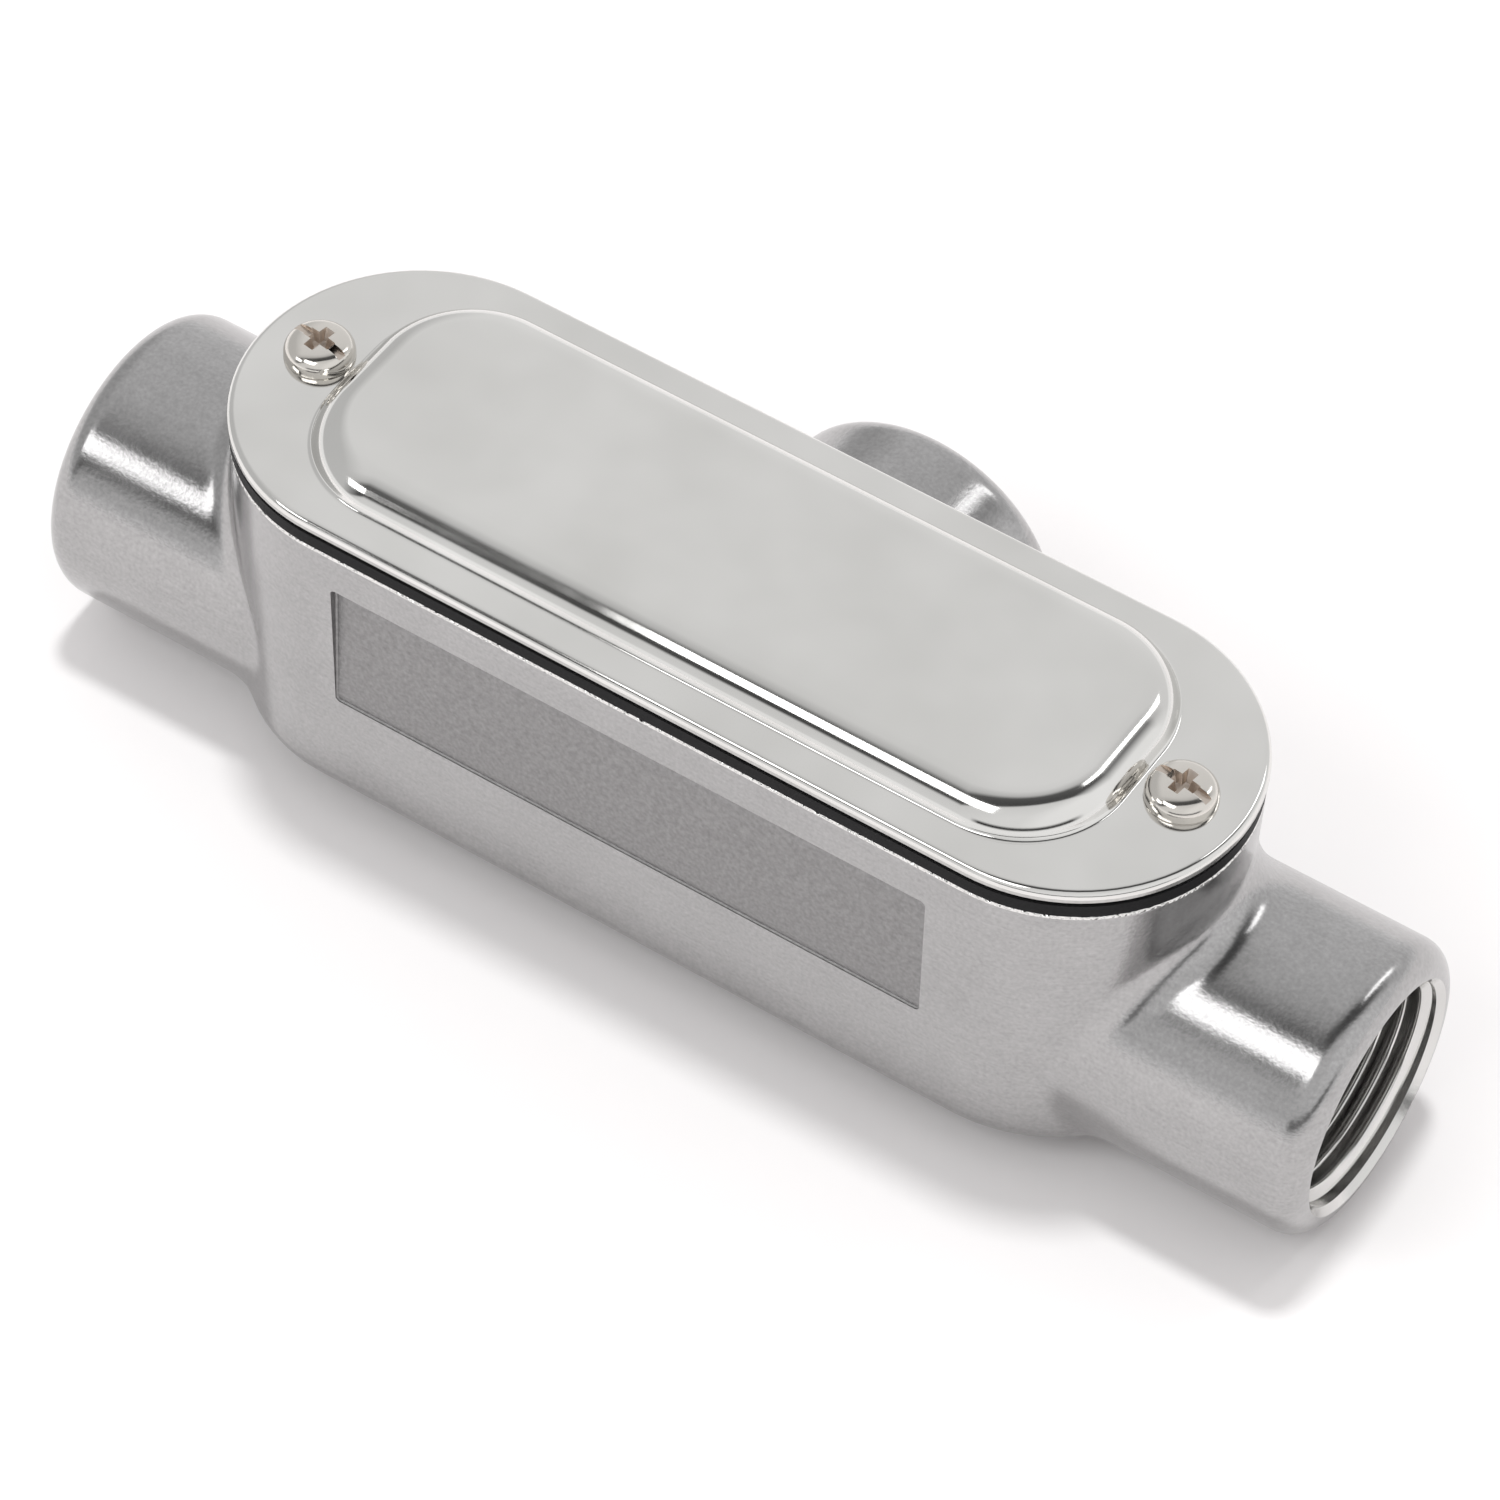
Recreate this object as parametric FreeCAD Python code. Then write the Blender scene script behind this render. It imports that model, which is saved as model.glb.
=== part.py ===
"""Conduit body, T type, for 3/4 inch threaded conduit.

A one-piece cast stainless steel housing with three threaded hubs, a flat rubber
gasket, a pressed steel cover with a raised panel, and two pan head cover screws.

Frame: millimetres, +Z up and out of the cover. The run between the two opposite
hubs lies along X, and the branch hub points along +Y. The origin is the centre of
the bottom of the bounding box, so the three hubs stand on z = 0.
"""
import FreeCAD, Part
import math
import os

V = FreeCAD.Vector

# Plan: everything along the body is placed from the centres of its two round ends
end_spacing = 82.0            # between those centres
run_reach = 39.9              # from such a centre to the face of the hub beyond it
branch_reach = 40.2           # from the run's axis to the face of the branch hub

# Hubs
hub_radius = 17.25
hub_face_round = 3.4          # rounded outer end of each hub
hub_root_round = 11.0         # rounded inner end, which shows under the body
hub_root_depth = 21.0         # how far a hub's root reaches in past the body's wall
hub_blend = 4.5               # casting fillet between hub and body
turned_steps = 3              # conical steps that make a turned round
flare_bury = 0.6              # how far the branch hub's flare is sunk in the drafted wall
thread_radius = 13.2          # wall of the thread, at the root
thread_length = 16.5          # face of the hub to the conduit stop
mouth_chamfer = 0.7
stop_bevel = 1.2
bushing_radius = 10.1         # smooth bore of the conduit stop

# Body of the housing
side_margin = 2.45            # the walls stand this far out past the hubs, at the bottom
wall_draft = 0.8              # and lean out this far by the rim, to leave the mould
body_height = 39.6
body_edge_bevel = 2.0         # bottom edge
axis_above_bottom = 12.5      # hub axes above the body's flat bottom
wall = 2.8
floor = 2.2
floor_bevel = 2.0             # where the chamber's walls meet its floor
rim_bevel = 0.4

# Name panel: a shallow recess in the front wall, left blank
recess_end_margin = 3.6       # from the ends of the flat wall
recess_shift = -0.8           # off the middle of the wall
recess_height = 18.0
recess_depth = 0.7
recess_above_bottom = 25.0    # its middle, above the body's flat bottom
recess_corner = 0.4

# Cover
cover_overhang = 0.15         # past the housing's rim, all round
cover_thickness = 2.1
cover_edge_bevel = 0.5
panel_side_margin = 4.15      # flange width beside the raised panel
panel_end_margin = 12.1       # flange width at each end of it
panel_corner = 12.4
panel_height = 3.4
panel_wall_angle = 70.0       # from the flange
panel_crest_bevel = 1.2

# Gasket
gasket_thickness = 1.6

# Cover screws and their lugs
screw_inset = 7.45            # from each end of the cover
screw_radius = 2.05           # shank, over the thread
screw_length = 12.7           # below the head
head_radius = 3.95
head_height = 2.4
head_side = 0.9               # straight part of the head's side
head_flat_radius = 2.9
slot_width = 1.2
slot_depth = 1.0
wing_length = 4.6             # tip to tip of the cross recess
recess_turn = -8.0            # degrees, as tightened
tapped_clearance = 0.05
hole_clearance = 0.35
lug_radius = 4.6
lug_height = 13.0
tap_spare = 1.6               # depth of the tapped hole past the screw's end

# Worked out from the sizes above
axis_z = hub_radius
body_bottom = axis_z - axis_above_bottom
rim_z = body_bottom + body_height
gasket_top = rim_z + gasket_thickness
flange_top = gasket_top + cover_thickness
end_centre = end_spacing / 2
body_width_low = 2 * (hub_radius + side_margin)
body_width_high = body_width_low + 2 * wall_draft
cover_width = body_width_high + 2 * cover_overhang
cover_length = end_spacing + cover_width
panel_width = cover_width - 2 * panel_side_margin      # at the sharp foot of its walls
panel_length = cover_length - 2 * panel_end_margin
recess_length = end_spacing - 2 * recess_end_margin
screw_x = cover_length / 2 - screw_inset
run_y = -(branch_reach - cover_width / 2) / 2
draft = wall_draft / body_height
over = 5.0                    # how far a cutting solid runs past the surface it cuts
touch = 1e-4                  # distance at which a point counts as on a surface


def body_radius(z):
    """Outer half width of the drafted body at height z."""
    return body_width_low / 2 + draft * (z - body_bottom)


def outline(length, width, corner, z):
    """Closed wire of a rectangle with rounded corners, centred on the Z axis."""
    half_x = length / 2 - corner
    half_y = width / 2 - corner
    edges = []
    centres = [(half_x, half_y), (-half_x, half_y), (-half_x, -half_y), (half_x, -half_y)]
    arcs = []
    for quarter, (cx, cy) in enumerate(centres):
        points = []
        for step in range(3):
            angle = math.radians(90 * quarter + 45 * step)
            points.append(V(cx + corner * math.cos(angle), cy + corner * math.sin(angle), z))
        arcs.append(points)
    for index, points in enumerate(arcs):
        edges.append(Part.Arc(*points).toShape())
        following = arcs[(index + 1) % 4][0]
        if points[2].distanceToPoint(following) > touch:
            edges.append(Part.LineSegment(points[2], following).toShape())
    return Part.Wire(edges)


def plate(length, width, corner, z, height):
    """Flat plate with a rounded outline."""
    return Part.Face(outline(length, width, corner, z)).extrude(V(0, 0, height))


def obround_plate(length, width, z, height):
    """Flat plate with full-radius ends."""
    return plate(length, width, width / 2, z, height)


def drafted_block(z_low, z_high, inset):
    """The body's drafted obround between two heights, set in by a wall."""
    low = body_radius(z_low) - inset
    high = body_radius(z_high) - inset
    height = z_high - z_low
    section = Part.makePolygon([
        V(-end_centre, -low, z_low),
        V(-end_centre, low, z_low),
        V(-end_centre, high, z_high),
        V(-end_centre, -high, z_high),
        V(-end_centre, -low, z_low),
    ])
    block = Part.Face(section).extrude(V(2 * end_centre, 0, 0))
    for side in (1, -1):
        end = Part.makeCone(low, high, height, V(0, 0, 0), V(0, 0, 1), 180)
        end.rotate(V(0, 0, 0), V(0, 0, 1), -90 * side)
        end.translate(V(end_centre * side, 0, z_low))
        block = block.fuse(end)
    return block.removeSplitter()


def flat_edges(shape, z):
    """Edges that lie in the level plane at height z."""
    found = []
    for edge in shape.Edges:
        box = edge.BoundBox
        if abs(box.ZMin - z) < touch and abs(box.ZMax - z) < touch:
            found.append(edge)
    return found


def shared_edges(shape, first, second):
    """Edges of a fused shape where the surfaces of its two parts meet."""
    found = []
    for edge in shape.Edges:
        middle = edge.valueAt((edge.FirstParameter + edge.LastParameter) / 2)
        point = Part.Vertex(middle)
        near = [part.Shells[0].distToShape(point)[0] < touch for part in (first, second)]
        if all(near):
            found.append(edge)
    return found


# Each hub: where its axis starts, the way it points, its face and the body's wall there.
run_face = end_centre + run_reach
run_wall = end_centre + body_radius(axis_z)
branch_wall = body_radius(axis_z)
hubs = [
    (V(1, 0, 0), run_face, run_wall),
    (V(-1, 0, 0), run_face, run_wall),
    (V(0, 1, 0), branch_reach, branch_wall),
]


def turned(profile, way):
    """Solid of revolution about a hub's axis, from (along the axis, out from it) points."""
    points = [way * along + V(0, 0, axis_z + out) for along, out in profile]
    return Part.Face(Part.makePolygon(points)).revolve(V(0, 0, axis_z), way, 360)


def stepped_round(centre, radius, start_angle, turn):
    """Points of a quarter round in the turned profile, as the corners of its steps."""
    points = []
    for step in range(turned_steps + 1):
        angle = math.radians(start_angle + turn * 90 * step / turned_steps)
        points.append((centre[0] + radius * math.cos(angle), centre[1] + radius * math.sin(angle)))
    return points


def hub_solid(way, face, wall_at):
    """A plain hub, rounded at its outer face and at its root inside the body."""
    start = wall_at - hub_root_depth
    root = stepped_round((start + hub_root_round, hub_radius - hub_root_round), hub_root_round, 180, -1)
    mouth = stepped_round((face - hub_face_round, hub_radius - hub_face_round), hub_face_round, 90, -1)
    return turned([(start, 0)] + root + mouth + [(face, 0), (start, 0)], way)


def hub_flare(way, wall_at):
    """The blend of a hub on a flat wall: a turned flare that ends above the bottom's bevel."""
    edge = hub_radius + hub_blend
    curve = stepped_round((wall_at + hub_blend, edge), hub_blend, 270, -1)
    buried = wall_at - flare_bury
    profile = [(buried, 0), (buried, edge)] + curve[::-1] + [(wall_at + hub_blend, 0), (buried, 0)]
    flare = turned(profile, way)
    low = body_bottom + body_edge_bevel
    below = Part.makeBox(4 * edge, 4 * edge, 4 * edge, V(-2 * edge, -2 * edge, low - 4 * edge))
    return flare.cut(below)


def hub_bore(way, face, reach):
    """Cutting solid of a threaded hub: chamfer, thread wall, stop and smooth bushing."""
    stop = face - thread_length
    profile = [
        (face + over, 0),
        (face + over, thread_radius + mouth_chamfer + over),
        (face, thread_radius + mouth_chamfer),
        (face - mouth_chamfer, thread_radius),
        (stop, thread_radius),
        (stop, bushing_radius + stop_bevel),
        (stop - stop_bevel, bushing_radius),
        (reach, bushing_radius),
        (reach, 0),
        (face + over, 0),
    ]
    return turned(profile, way)


def screw_places():
    """Middle of each cover screw, left then right."""
    return [V(-screw_x, 0, 0), V(screw_x, 0, 0)]


def lug(place, z, height):
    """Lug that carries a cover screw, standing in from the body's end wall."""
    side = math.copysign(1, place.x)
    wall_at = end_centre + body_radius(z) - wall / 2
    solid = Part.makeCylinder(lug_radius, height, place + V(0, 0, z))
    depth = wall_at - abs(place.x)
    web = Part.makeBox(depth, 2 * lug_radius, height)
    web.translate(V(0 if side > 0 else -depth, -lug_radius, 0))
    web.translate(place + V(0, 0, z))
    return solid.fuse(web).removeSplitter()


def name_recess():
    """Cutting solid of the blank name panel, tilted with the drafted front wall."""
    middle = body_bottom + recess_above_bottom
    block = plate(recess_length, recess_height, recess_corner, -recess_depth, recess_depth + over)
    block.rotate(V(0, 0, 0), V(1, 0, 0), 90 - math.degrees(math.atan(draft)))
    block.translate(V(recess_shift, -body_radius(middle), middle))
    return block


def housing():
    """The casting: drafted body, three blended hubs, chamber, bores and screw lugs."""
    body = drafted_block(body_bottom, rim_z, 0)
    body = body.makeChamfer(body_edge_bevel, flat_edges(body, body_bottom))
    solid = body
    for way, face, wall_at in hubs:
        hub = hub_solid(way, face, wall_at)
        joined = solid.fuse(hub)
        if way.x:
            solid = joined.makeFillet(hub_blend, shared_edges(joined, body, hub))
        else:
            solid = joined.fuse(hub_flare(way, wall_at))
    solid = solid.makeChamfer(rim_bevel, flat_edges(solid, rim_z))
    chamber = drafted_block(body_bottom + floor, rim_z + over, wall)
    chamber = chamber.makeChamfer(floor_bevel, flat_edges(chamber, body_bottom + floor))
    for place in screw_places():
        chamber = chamber.cut(lug(place, rim_z - lug_height, lug_height + 2 * over))
    solid = solid.cut(chamber)
    for way, face, wall_at in hubs:
        bore = hub_bore(way, face, wall_at - hub_root_depth)
        solid = solid.cut(bore)
    for place in screw_places():
        depth = screw_length - cover_thickness - gasket_thickness + tap_spare
        radius = screw_radius + tapped_clearance
        top = place + V(0, 0, rim_z + over)
        solid = solid.cut(Part.makeCylinder(radius, depth + over, top, V(0, 0, -1)))
    return solid.cut(name_recess())


def cover_gasket():
    """Flat rubber ring that follows the housing's rim and its lugs."""
    ring = obround_plate(end_spacing + body_width_high, body_width_high, rim_z, gasket_thickness)
    inside = 2 * (body_radius(rim_z) - wall)
    opening = obround_plate(2 * end_centre + inside, inside, rim_z - over, 2 * over)
    for place in screw_places():
        opening = opening.cut(lug(place, rim_z - 2 * over, 4 * over))
    ring = ring.cut(opening)
    for place in screw_places():
        hole = Part.makeCylinder(screw_radius + hole_clearance, 2 * over, place + V(0, 0, rim_z - over))
        ring = ring.cut(hole)
    return ring


def panel_block(length, width, corner, z, height):
    """Raised panel with sloping walls; the sizes are those at its foot."""
    slope = height / math.tan(math.radians(panel_wall_angle))
    foot = outline(length, width, corner, z)
    crest = outline(length - 2 * slope, width - 2 * slope, corner - slope, z + height)
    return Part.makeLoft([foot, crest], True, True)


def cover():
    """Pressed cover: flat flange, raised panel, hollow below, two screw holes."""
    flange = obround_plate(cover_length, cover_width, gasket_top, cover_thickness)
    flange = flange.makeChamfer(cover_edge_bevel, flat_edges(flange, flange_top))
    panel = panel_block(panel_length, panel_width, panel_corner, flange_top, panel_height)
    panel = panel.makeChamfer(panel_crest_bevel, flat_edges(panel, flange_top + panel_height))
    solid = flange.fuse(panel)
    angle = math.radians(panel_wall_angle)
    inset = cover_thickness / math.sin(angle) - cover_thickness / math.tan(angle)
    hollow = panel_block(panel_length - 2 * inset, panel_width - 2 * inset, panel_corner - inset,
                         gasket_top, panel_height)
    solid = solid.cut(hollow)
    for place in screw_places():
        hole = Part.makeCylinder(screw_radius + hole_clearance, 4 * over, place + V(0, 0, gasket_top - over))
        solid = solid.cut(hole)
    return solid


def cover_screw(place):
    """Pan head screw with a combined slot and cross recess."""
    profile = [
        V(0, 0, -screw_length),
        V(screw_radius, 0, -screw_length),
        V(screw_radius, 0, 0),
        V(head_radius, 0, 0),
        V(head_radius, 0, head_side),
        V(head_flat_radius, 0, head_height),
        V(0, 0, head_height),
        V(0, 0, -screw_length),
    ]
    screw = Part.Face(Part.makePolygon(profile)).revolve(V(0, 0, 0), V(0, 0, 1), 360)
    slot = Part.makeBox(4 * head_radius, slot_width, 2 * slot_depth)
    slot.translate(V(-2 * head_radius, -slot_width / 2, head_height - slot_depth))
    wings = Part.makeBox(slot_width, wing_length, 2 * slot_depth)
    wings.translate(V(-slot_width / 2, -wing_length / 2, head_height - 1.4 * slot_depth))
    screw = screw.cut(slot).cut(wings)
    screw.rotate(V(0, 0, 0), V(0, 0, 1), recess_turn)
    screw.translate(place + V(0, 0, flange_top))
    return screw


def save(name, shape):
    """Write one node in the part's own frame."""
    placed = shape.copy()
    placed.translate(V(0, run_y, 0))
    placed.exportStep("parts/" + name + ".step")
    print(name, "valid", placed.isValid(), "solids", len(placed.Solids), "mm3", round(placed.Volume, 1))


os.makedirs("parts", exist_ok=True)
left, right = screw_places()
save("housing", housing())
save("cover_gasket", cover_gasket())
save("cover", cover())
save("cover_screw_left", cover_screw(left))
save("cover_screw_right", cover_screw(right))
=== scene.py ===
# %% [markdown]
# # A stainless steel conduit body, dressed for its portrait
# The real thing is a casting with three threaded hubs, closed by a pressed cover
# on a rubber gasket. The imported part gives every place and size, and this lesson
# gives the finish: rounded castings, threads, screws, and steel that looks like steel.

# %% Load the part
import bpy
import bmesh
import math
import numpy as np
from mathutils import Matrix, Vector


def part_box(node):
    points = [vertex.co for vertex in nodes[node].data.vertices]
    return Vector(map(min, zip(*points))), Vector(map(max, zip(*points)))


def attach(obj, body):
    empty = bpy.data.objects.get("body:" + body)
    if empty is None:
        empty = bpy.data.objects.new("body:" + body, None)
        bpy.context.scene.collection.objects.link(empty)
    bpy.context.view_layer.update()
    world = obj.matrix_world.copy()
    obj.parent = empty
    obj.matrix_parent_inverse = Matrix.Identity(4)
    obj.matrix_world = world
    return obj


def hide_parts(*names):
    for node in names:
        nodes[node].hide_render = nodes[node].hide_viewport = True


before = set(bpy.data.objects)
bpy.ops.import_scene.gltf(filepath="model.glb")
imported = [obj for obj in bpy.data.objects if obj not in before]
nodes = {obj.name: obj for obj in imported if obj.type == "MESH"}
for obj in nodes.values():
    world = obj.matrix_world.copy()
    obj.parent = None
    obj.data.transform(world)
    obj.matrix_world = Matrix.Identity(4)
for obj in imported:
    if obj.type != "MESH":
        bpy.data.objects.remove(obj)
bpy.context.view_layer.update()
mm = 0.001
print("nodes:", sorted(nodes))

# %% [markdown]
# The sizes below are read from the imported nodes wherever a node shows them. The few
# others are the casting's own radii, in millimetres. They could be typed in one by
# one where they are used, but one list keeps the pieces in step with each other.

# %% Sizes of the casting
hub_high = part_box("housing")[1]
rim_low, rim_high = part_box("cover_gasket")
cover_low, cover_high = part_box("cover")
run_y = (cover_low.y + cover_high.y) / 2 / mm       # the run's axis, in plan
axis_z = 17.25                # height of the three hubs' axes
hub_radius = 17.25
face_round = 3.4              # outer end of a hub
root_round = 11.0             # inner end of a hub, seen from below
root_depth = 21.0             # how far a hub's form runs on inside the body's wall
blend = 4.5                   # casting fillet where a hub meets the body
end_centre = 41.0             # centres of the body's round ends, along the run
body_bottom = 4.75            # the body's foot stands a little above the hubs' undersides
bottom_round = 2.7
low_radius = 19.7             # half the body's width at its foot
high_radius = (rim_high.y - rim_low.y) / 2 / mm     # and at its rim
rim_z = hub_high.z / mm
run_face = hub_high.x / mm
branch_face = hub_high.y / mm - run_y
draft = (high_radius - low_radius) / (rim_z - body_bottom)
print("run axis y", round(run_y, 3), "rim", round(rim_z, 2), "faces", run_face, branch_face)

# %% [markdown]
# ## Steel, as it leaves the foundry and the press
# Stainless steel is one metal in several finishes here. The casting is blasted and
# brushed to a satin, and its name recess keeps the grey, grainy skin of the mould.
# The rim is ground and the bores are turned. The cover is polished sheet with a
# sheared edge, and the screws are bright wire. Roughness and a fine bump tell these
# finishes apart far more than colour does, so every one starts from the same bare
# metal and adds its own noise. An image could give the same grain, but noise in real
# millimetres has no seams and no end.

# %% Colours, nodes and bare metal
def linear(text):
    """An sRGB hex colour as the linear values that a shader takes."""
    values = [int(text[place:place + 2], 16) / 255 for place in (0, 2, 4)]
    return [v / 12.92 if v <= 0.04045 else ((v + 0.055) / 1.055) ** 2.4 for v in values] + [1.0]


def node(tree, kind, settings=None, in_order=(), **by_name):
    """Adds one node with its settings. Its inputs, in order or by name, are linked or set."""
    made = tree.nodes.new(kind)
    for name, value in (settings or {}).items():
        setattr(made, name, value)
    given = [(made.inputs[place], value) for place, value in enumerate(in_order)]
    for name, value in by_name.items():
        name = name.replace("_", " ")
        given.append((next(s for s in made.inputs if s.name == name and s.enabled), value))
    for socket, value in given:
        if isinstance(value, bpy.types.NodeSocket):
            tree.links.new(value, socket)
        else:
            socket.default_value = value
    return made


def blank(name, colour, roughness):
    """A plain material, with its tree, its shader and its object coordinates."""
    made = bpy.data.materials.new(name)
    made.use_nodes = True
    shader = made.node_tree.nodes["Principled BSDF"]
    shader.inputs["Base Color"].default_value = linear(colour)
    shader.inputs["Roughness"].default_value = roughness
    place = node(made.node_tree, "ShaderNodeTexCoord").outputs["Object"]
    return made, made.node_tree, shader, place


def metal(name, colour, roughness):
    """A blank that is bare metal."""
    made, tree, shader, place = blank(name, colour, roughness)
    shader.inputs["Metallic"].default_value = 1.0
    return made, tree, shader, place


def drive(shader, **patterns):
    """Lets patterns drive the shader's inputs of those names."""
    for name, source in patterns.items():
        shader.id_data.links.new(source, shader.inputs[name.replace("_", " ")])


print("a mid grey is", round(linear("808080")[0], 3), "of white in linear light")

# %% [markdown]
# ### Satin cast steel
# The hubs and walls were blasted and then brushed with a belt. To the eye that is a
# soft, slightly streaky grey, whose highlights keep their edges but lose their sparkle.
# Long noise stretched round each surface gives the strokes, short noise the grain, and
# clouds of 9 mm the unevenness of handwork. The real grit is near 0.1 mm, too fine to
# show, so strokes and grain are drawn 0.35 and 0.45 mm wide. The cover's sheared edge
# is streaked in the same way, and a tone lighter, because the die wiped it clean.

# %% Satin steel
def satin_steel(name, low, high, roughness):
    """Brushed steel: a cloudy haze, faint strokes and a fine grain."""
    made, tree, shader, place = metal(name, high, roughness)
    clouds = node(tree, "ShaderNodeTexNoise", Vector=place, Scale=1 / (9 * mm), Detail=3.0).outputs["Fac"]
    flat = node(tree, "ShaderNodeMapping", Vector=place, Scale=(0.12, 0.12, 1.0))
    strokes = node(tree, "ShaderNodeTexNoise", Vector=flat.outputs["Vector"],
                   Scale=1 / (0.35 * mm), Detail=2.0)
    grit = node(tree, "ShaderNodeTexNoise", Vector=place, Scale=1 / (0.45 * mm), Detail=2.0)
    grain = node(tree, "ShaderNodeMath", {"operation": "MULTIPLY_ADD"},
                 (strokes.outputs["Fac"], 0.45, grit.outputs["Fac"])).outputs["Value"]
    haze = node(tree, "ShaderNodeMapRange", Value=clouds, To_Min=roughness - 0.05, To_Max=roughness + 0.05)
    patches = node(tree, "ShaderNodeMapRange", Value=clouds, To_Min=0.0, To_Max=0.2)
    worn = node(tree, "ShaderNodeMath", {"operation": "MULTIPLY_ADD"},
                (grain, 0.55, patches.outputs["Result"]))
    tone = node(tree, "ShaderNodeMix", {"data_type": "RGBA"}, Factor=worn.outputs["Value"],
                A=linear(low), B=linear(high))
    bump = node(tree, "ShaderNodeBump", Strength=0.5, Distance=0.02 * mm, Height=grain)
    drive(shader, Roughness=haze.outputs["Result"], Base_Color=tone.outputs[2],
          Normal=bump.outputs["Normal"])
    return made


housing_satin = satin_steel("satin_cast_steel", "8c8b8b", "c9c8c8", 0.19)
sheared_edge = satin_steel("sheared_edge_steel", "9f9e9c", "d6d5d3", 0.22)
print("made", housing_satin.name, "and", sheared_edge.name)

# %% [markdown]
# ### Mould skin
# The name recess and the chamber were never brushed. Sand leaves cast steel darker,
# matt and pebbled, in grains of about 0.5 mm. A displaced mesh could show each pebble,
# but at this size a bump reads the same and costs no faces.

# %% Mould skin of the recess
def mould_skin():
    """Unbrushed cast surface: dark, rough and pebbled."""
    made, tree, shader, place = metal("mould_skin_steel", "9a9999", 0.42)
    pebbles = node(tree, "ShaderNodeTexNoise", Vector=place, Scale=1 / (0.5 * mm), Detail=3.0).outputs["Fac"]
    haze = node(tree, "ShaderNodeMapRange", Value=pebbles, To_Min=0.34, To_Max=0.52)
    tone = node(tree, "ShaderNodeMix", {"data_type": "RGBA"}, Factor=pebbles,
                A=linear("757474"), B=linear("acabab"))
    bump = node(tree, "ShaderNodeBump", Strength=0.6, Distance=0.1 * mm, Height=pebbles)
    drive(shader, Roughness=haze.outputs["Result"], Base_Color=tone.outputs[2],
          Normal=bump.outputs["Normal"])
    return made


recess_skin = mould_skin()
print("made", recess_skin.name)

# %% [markdown]
# ### Turned and stamped steel
# A lathe leaves the bores and the screws bright, with a sheen that wanders a little
# from tool mark to tool mark. The marks are under 0.1 mm wide, too fine to show, so
# only the roughness varies, in patches drawn 0.6 mm wide. The driver's recess in a
# screw is stamped, so it is duller, and its colour is painted darker and warmer as
# the shade inside the recess.

# %% Turned steel
def turned_steel(name, colour, roughness):
    """Machined surface: bright, with a fine uneven sheen."""
    made, tree, shader, place = metal(name, colour, roughness)
    marks = node(tree, "ShaderNodeTexNoise", Vector=place, Scale=1 / (0.6 * mm), Detail=2.0)
    haze = node(tree, "ShaderNodeMapRange", Value=marks.outputs["Fac"],
                To_Min=roughness - 0.04, To_Max=roughness + 0.06)
    drive(shader, Roughness=haze.outputs["Result"])
    return made


bore_steel = turned_steel("turned_bore_steel", "d8d7d5", 0.16)
screw_steel = turned_steel("bright_screw_steel", "dcd8d2", 0.12)
# The recess steel's darker, warmer colour is painted shade inside the screws' driver recess.
recess_shade_steel = turned_steel("screw_recess_painted_shade_steel", "cfc4ba", 0.3)
print("made", bore_steel.name, screw_steel.name, recess_shade_steel.name)

# %% [markdown]
# ### Polished sheet
# The cover was polished before it was pressed. It is nearly a mirror, hazed in clouds
# of about 14 mm and pulled into waves of about 6 mm by the press. The waves bend what
# it mirrors, and that tells the eye it is thin sheet and no machined block.

# %% Polished sheet of the cover
def polished_sheet():
    """Polished pressed sheet: a hazy mirror with a slight waviness."""
    made, tree, shader, place = metal("polished_sheet_steel", "e4e3e0", 0.12)
    clouds = node(tree, "ShaderNodeTexNoise", Vector=place, Scale=1 / (14 * mm), Detail=2.0).outputs["Fac"]
    haze = node(tree, "ShaderNodeMapRange", Value=clouds, To_Min=0.05, To_Max=0.12)
    tone = node(tree, "ShaderNodeMix", {"data_type": "RGBA"}, Factor=clouds,
                A=linear("d3d2cf"), B=linear("ecebe9"))
    waves = node(tree, "ShaderNodeTexNoise", Vector=place, Scale=1 / (6 * mm), Detail=1.0)
    bump = node(tree, "ShaderNodeBump", Strength=0.25, Distance=0.05 * mm, Height=waves.outputs["Fac"])
    drive(shader, Roughness=haze.outputs["Result"], Base_Color=tone.outputs[2],
          Normal=bump.outputs["Normal"])
    return made


cover_sheet = polished_sheet()
print("made", cover_sheet.name)

# %% [markdown]
# ### Ground edge
# A coarse wheel tears the casting's rim into bright facets that glitter in a thin line
# under the gasket. The facets are about 0.6 mm, and a strong bump of that size turns
# each of them to another part of the room.

# %% Ground edge of the rim
def ground_edge():
    """Edge left by a coarse grinding wheel: bright, torn and glittering."""
    made, tree, shader, place = metal("ground_edge_steel", "e6e5e3", 0.08)
    tears = node(tree, "ShaderNodeTexNoise", Vector=place, Scale=1 / (0.6 * mm), Detail=1.0)
    bump = node(tree, "ShaderNodeBump", Strength=1.0, Distance=0.6 * mm, Height=tears.outputs["Fac"])
    drive(shader, Normal=bump.outputs["Normal"])
    return made


torn_edge = ground_edge()
print("made", torn_edge.name)

# %% [markdown]
# ### Gasket rubber
# Black nitrile sheet drinks light: no sheen, only a faint powdery grain, 0.3 mm wide.
# Its specular level is kept low, because a glossy black line would read as a gap.

# %% Rubber of the gasket
def gasket_sheet():
    """Black gasket sheet: matt, very slightly grainy."""
    made, tree, shader, place = blank("black_gasket_rubber", "0c0c0e", 0.55)
    shader.inputs["Specular IOR Level"].default_value = 0.2
    grain = node(tree, "ShaderNodeTexNoise", Vector=place, Scale=1 / (0.3 * mm), Detail=2.0).outputs["Fac"]
    haze = node(tree, "ShaderNodeMapRange", Value=grain, To_Min=0.45, To_Max=0.65)
    bump = node(tree, "ShaderNodeBump", Strength=0.3, Distance=0.03 * mm, Height=grain)
    drive(shader, Roughness=haze.outputs["Result"], Normal=bump.outputs["Normal"])
    return made


gasket_rubber = gasket_sheet()
print("finishes:", len(bpy.data.materials))

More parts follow.
